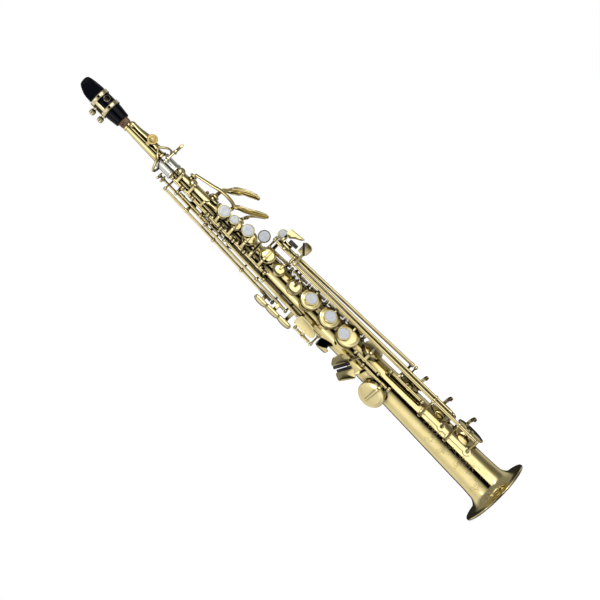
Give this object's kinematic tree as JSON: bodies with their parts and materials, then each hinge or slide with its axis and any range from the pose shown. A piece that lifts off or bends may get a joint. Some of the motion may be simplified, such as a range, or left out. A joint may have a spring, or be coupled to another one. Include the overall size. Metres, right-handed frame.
{
  "type": "soprano saxophone",
  "caption": "Straight conical brass woodwind with keyed tone holes, flared bell, corked neck, mouthpiece with reed and ligature, and hinged keys.",
  "frame": {"origin": "on the axis of the conical body tube, in the plane of the bell's rim", "axes": "+Z along the tube towards the mouthpiece, -Y the player's far side where the main key stacks face, +X the player's left"},
  "size_m": [0.096, 0.09, 0.6798],
  "materials": {
    "body_brass": "clear gold lacquer over polished brass, glossy",
    "key_brass": "clear gold lacquer over brass keys and posts, glossy",
    "silvered_brass": "pale silvery receiver ring, polished",
    "ligature_brass": "gold-lacquered sheet and screws",
    "ebonite": "black hard rubber, semi-gloss",
    "cane": "dry reed cane",
    "cork": "matt cork with a fine dark grain",
    "pearl": "bluish-white mother-of-pearl touch, glossy",
    "pad_leather": "tan pad leather",
    "resonator": "domed metal disc in a pad",
    "blued_spring": "blued needle springs",
    "steel": "hinge rods and pivot screws",
    "roller": "black rollers and touches",
    "felt": "felt bumpers"
  },
  "bodies": {
    "body": {"body_tube": "body_brass", "bell": "body_brass", "neck_receiver": "silvered_brass", "neck_tube": "body_brass", "neck_cork": "cork", "left_stack_posts": "key_brass", "right_stack_posts": "key_brass", "palm_posts": "key_brass", "low_c_e_flat_posts": "key_brass", "side_key_posts": "key_brass", "octave_posts": "key_brass", "table_posts": "key_brass", "low_c_sharp_posts": "key_brass", "bell_key_posts": "key_brass", "key_guards": "key_brass", "thumb_hook": "key_brass", "strap_ring": "key_brass", "thumb_rest": "key_brass"},
    "neck_screw": {"neck_screw": "key_brass"},
    "neck_octave_key": {"neck_octave_key": "key_brass"},
    "mouthpiece": {"mouthpiece": "ebonite", "reed": "cane", "ligature": "ligature_brass"},
    "ligature_screw_lower": {"ligature_screw_lower": "ligature_brass"},
    "ligature_screw_upper": {"ligature_screw_upper": "ligature_brass"},
    "octave_vent_upper_key": {"octave_vent_upper_key": "key_brass"},
    "octave_vent_lower_key": {"octave_vent_lower_key": "key_brass"},
    "front_f_key": {"front_f_key": "key_brass"},
    "b_key": {"b_key": "key_brass", "b_pearl": "pearl"},
    "bis_key": {"bis_key": "key_brass", "bis_pearl": "pearl"},
    "a_key": {"a_key": "key_brass", "a_pearl": "pearl"},
    "g_key": {"g_key": "key_brass", "g_pearl": "pearl"},
    "g_sharp_key": {"g_sharp_key": "key_brass", "g_sharp_pearl": "pearl"},
    "f_sharp_key": {"f_sharp_key": "key_brass"},
    "f_key": {"f_key": "key_brass", "f_pearl": "pearl"},
    "e_key": {"e_key": "key_brass", "e_pearl": "pearl"},
    "d_key": {"d_key": "key_brass", "d_pearl": "pearl"},
    "e_flat_key": {"e_flat_key": "key_brass"},
    "low_c_key": {"low_c_key": "key_brass"},
    "low_c_sharp_lever": {"low_c_sharp_lever": "key_brass"},
    "low_c_sharp_key": {"low_c_sharp_key": "key_brass"},
    "low_b_key": {"low_b_key": "key_brass"},
    "low_b_flat_key": {"low_b_flat_key": "key_brass"},
    "side_e_key": {"side_e_key": "key_brass"},
    "side_c_key": {"side_c_key": "key_brass"},
    "side_b_flat_key": {"side_b_flat_key": "key_brass"},
    "thumb_octave_key": {"thumb_octave_key": "key_brass"},
    "high_f_sharp_vent_key": {"high_f_sharp_vent_key": "key_brass"},
    "high_f_sharp_lever": {"high_f_sharp_lever": "key_brass"},
    "palm_f_key": {"palm_f_key": "key_brass"},
    "palm_e_flat_key": {"palm_e_flat_key": "key_brass"},
    "palm_d_key": {"palm_d_key": "key_brass"}
  },
  "joints": [
    {"name": "neck_screw_turn", "type": "hinge", "parent": "body", "child": "neck_screw", "pos_m": [-0.00016, -0.01272, 0.5427], "axis": [0.9397, 0.342, 0], "range_deg": [-180, 180]},
    {"name": "neck_octave", "type": "hinge", "parent": "body", "child": "neck_octave_key", "pos_m": [0.00548, -0.0105, 0.572], "axis": [0.766, 0.6428, 0], "range_deg": [0, 6], "stiffness_Nm_per_rad": 0.02, "springref_deg": -17.19},
    {"name": "mouthpiece_slide", "type": "slide", "parent": "body", "child": "mouthpiece", "axis": [0, 0, 1], "range_m": [0, 0.005]},
    {"name": "ligature_screw_lower_turn", "type": "hinge", "parent": "mouthpiece", "child": "ligature_screw_lower", "pos_m": [-0.01169, 0.00313, 0.6324], "axis": [-0.9659, 0.2588, 0], "range_deg": [-180, 180]},
    {"name": "ligature_screw_upper_turn", "type": "hinge", "parent": "mouthpiece", "child": "ligature_screw_upper", "pos_m": [-0.01169, 0.00313, 0.6452], "axis": [-0.9659, 0.2588, 0], "range_deg": [-180, 180]},
    {"name": "octave_vent_upper", "type": "hinge", "parent": "body", "child": "octave_vent_upper_key", "pos_m": [-0.00651, -0.01127, 0.50935], "axis": [0.0155, 0.0268, 0.9995], "range_deg": [-9, 0], "stiffness_Nm_per_rad": 0.02, "springref_deg": 17.19},
    {"name": "octave_vent_lower", "type": "hinge", "parent": "body", "child": "octave_vent_lower_key", "pos_m": [-0.00675, -0.0117, 0.49335], "axis": [0.0155, 0.0268, 0.9995], "range_deg": [-9, 0], "stiffness_Nm_per_rad": 0.02, "springref_deg": 17.19},
    {"name": "front_f", "type": "hinge", "parent": "body", "child": "front_f_key", "pos_m": [-0.00717, -0.01241, 0.46685], "axis": [0.0155, 0.0268, 0.9995], "range_deg": [0, 8], "stiffness_Nm_per_rad": 0.02, "springref_deg": -17.19},
    {"name": "b", "type": "hinge", "parent": "body", "child": "b_key", "pos_m": [-0.0075, -0.01299, 0.44535], "axis": [0.0155, 0.0268, 0.9995], "range_deg": [0, 10], "stiffness_Nm_per_rad": 0.02, "springref_deg": -17.19},
    {"name": "bis", "type": "hinge", "parent": "body", "child": "bis_key", "pos_m": [-0.00782, -0.01354, 0.42485], "axis": [0.0155, 0.0268, 0.9995], "range_deg": [0, 10], "stiffness_Nm_per_rad": 0.02, "springref_deg": -17.19},
    {"name": "a", "type": "hinge", "parent": "body", "child": "a_key", "pos_m": [-0.00809, -0.01401, 0.40735], "axis": [0.0155, 0.0268, 0.9995], "range_deg": [0, 10], "stiffness_Nm_per_rad": 0.02, "springref_deg": -17.19},
    {"name": "g", "type": "hinge", "parent": "body", "child": "g_key", "pos_m": [-0.00861, -0.01492, 0.37335], "axis": [0.0155, 0.0268, 0.9995], "range_deg": [0, 10], "stiffness_Nm_per_rad": 0.02, "springref_deg": -17.19},
    {"name": "g_sharp", "type": "hinge", "parent": "body", "child": "g_sharp_key", "pos_m": [0.01771, -0.00475, 0.35385], "axis": [-0.0299, 0.008, 0.9995], "range_deg": [0, 12], "stiffness_Nm_per_rad": 0.02, "springref_deg": -17.19},
    {"name": "f_sharp", "type": "hinge", "parent": "body", "child": "f_sharp_key", "pos_m": [0.01805, -0.00483, 0.32645], "axis": [-0.0299, 0.008, 0.9995], "range_deg": [-8, 0], "stiffness_Nm_per_rad": 0.02, "springref_deg": 17.19},
    {"name": "f", "type": "hinge", "parent": "body", "child": "f_key", "pos_m": [0.01888, -0.00506, 0.29845], "axis": [-0.0299, 0.008, 0.9995], "range_deg": [-11, 0], "stiffness_Nm_per_rad": 0.02, "springref_deg": 17.19},
    {"name": "e", "type": "hinge", "parent": "body", "child": "e_key", "pos_m": [0.01977, -0.0053, 0.26885], "axis": [-0.0299, 0.008, 0.9995], "range_deg": [-11, 0], "stiffness_Nm_per_rad": 0.02, "springref_deg": 17.19},
    {"name": "d", "type": "hinge", "parent": "body", "child": "d_key", "pos_m": [0.02066, -0.00554, 0.23905], "axis": [-0.0299, 0.008, 0.9995], "range_deg": [-11, 0], "stiffness_Nm_per_rad": 0.02, "springref_deg": 17.19},
    {"name": "e_flat", "type": "hinge", "parent": "body", "child": "e_flat_key", "pos_m": [0.00198, -0.02266, 0.19845], "axis": [-0.0027, 0.0309, 0.9995], "range_deg": [-11, 0], "stiffness_Nm_per_rad": 0.02, "springref_deg": 17.19},
    {"name": "low_c", "type": "hinge", "parent": "body", "child": "low_c_key", "pos_m": [-0.00372, -0.0235, 0.17765], "axis": [0.0048, 0.0306, 0.9995], "range_deg": [-15, 0], "stiffness_Nm_per_rad": 0.05, "springref_deg": 17.19},
    {"name": "low_c_sharp_lever", "type": "hinge", "parent": "body", "child": "low_c_sharp_lever", "pos_m": [0.0373, -0.014, 0.172], "axis": [-0.0341, 0, 0.9994], "range_deg": [0, 9], "stiffness_Nm_per_rad": 0.05, "springref_deg": -17.19},
    {"name": "low_c_sharp", "type": "hinge", "parent": "body", "child": "low_c_sharp_key", "pos_m": [0.01485, -0.02044, 0.13985], "axis": [-0.0182, 0.0251, 0.9995], "range_deg": [-10, 0], "stiffness_Nm_per_rad": 0.04, "springref_deg": 17.19},
    {"name": "low_b", "type": "hinge", "parent": "body", "child": "low_b_key", "pos_m": [0.0294, -0.0195, 0.104], "axis": [-0.0085, 0.0018, 1], "range_deg": [0, 12], "stiffness_Nm_per_rad": 0.06, "springref_deg": -17.19},
    {"name": "low_b_flat", "type": "hinge", "parent": "body", "child": "low_b_flat_key", "pos_m": [0.026, -0.0236, 0.0632], "axis": [-0.0116, 0.0106, 0.9999], "range_deg": [0, 12], "stiffness_Nm_per_rad": 0.06, "springref_deg": -17.19},
    {"name": "side_e", "type": "hinge", "parent": "body", "child": "side_e_key", "pos_m": [-0.02655, -0.00093, 0.343], "axis": [0.031, 0.0011, 0.9995], "range_deg": [0, 7], "stiffness_Nm_per_rad": 0.04, "springref_deg": -17.19},
    {"name": "side_c", "type": "hinge", "parent": "body", "child": "side_c_key", "pos_m": [-0.02263, -0.00606, 0.325], "axis": [0.0299, 0.008, 0.9995], "range_deg": [0, 8], "stiffness_Nm_per_rad": 0.04, "springref_deg": -17.19},
    {"name": "side_b_flat", "type": "hinge", "parent": "body", "child": "side_b_flat_key", "pos_m": [-0.01712, -0.00988, 0.3075], "axis": [0.0268, 0.0155, 0.9995], "range_deg": [0, 8], "stiffness_Nm_per_rad": 0.04, "springref_deg": -17.19},
    {"name": "thumb_octave", "type": "hinge", "parent": "body", "child": "thumb_octave_key", "pos_m": [-0.01646, 0.01381, 0.462], "axis": [0.0237, -0.0199, 0.9995], "range_deg": [-8, 0], "stiffness_Nm_per_rad": 0.04, "springref_deg": 17.19},
    {"name": "high_f_sharp_vent", "type": "hinge", "parent": "body", "child": "high_f_sharp_vent_key", "pos_m": [-0.00746, 0.01846, 0.303], "axis": [0.0116, -0.0287, 0.9995], "range_deg": [0, 9], "stiffness_Nm_per_rad": 0.04, "springref_deg": -17.19},
    {"name": "high_f_sharp_lever", "type": "hinge", "parent": "body", "child": "high_f_sharp_lever", "pos_m": [-0.02918, -0.00102, 0.2774], "axis": [0.031, 0.0011, 0.9995], "range_deg": [0, 8], "stiffness_Nm_per_rad": 0.02, "springref_deg": -17.19},
    {"name": "palm_f", "type": "hinge", "parent": "body", "child": "palm_f_key", "pos_m": [0.01093, 0.01093, 0.44685], "axis": [-0.0219, -0.0219, 0.9995], "range_deg": [0, 8], "stiffness_Nm_per_rad": 0.02, "springref_deg": -17.19},
    {"name": "palm_e_flat", "type": "hinge", "parent": "body", "child": "palm_e_flat_key", "pos_m": [0.01049, 0.01049, 0.46685], "axis": [-0.0219, -0.0219, 0.9995], "range_deg": [0, 9], "stiffness_Nm_per_rad": 0.02, "springref_deg": -17.19},
    {"name": "palm_d", "type": "hinge", "parent": "body", "child": "palm_d_key", "pos_m": [0.01136, 0.01136, 0.42685], "axis": [-0.0219, -0.0219, 0.9995], "range_deg": [0, 9], "stiffness_Nm_per_rad": 0.02, "springref_deg": -17.19}
  ],
  "couplings": [
    {"joint": "low_c_sharp", "follows": "low_c_sharp_lever", "ratio": -1.111},
    {"joint": "high_f_sharp_vent", "follows": "high_f_sharp_lever", "ratio": 1.125},
    {"joint": "f_sharp", "follows": "f", "ratio": 0.727},
    {"joint": "bis", "follows": "a", "ratio": 1},
    {"joint": "neck_octave", "follows": "thumb_octave", "ratio": -0.75}
  ]
}
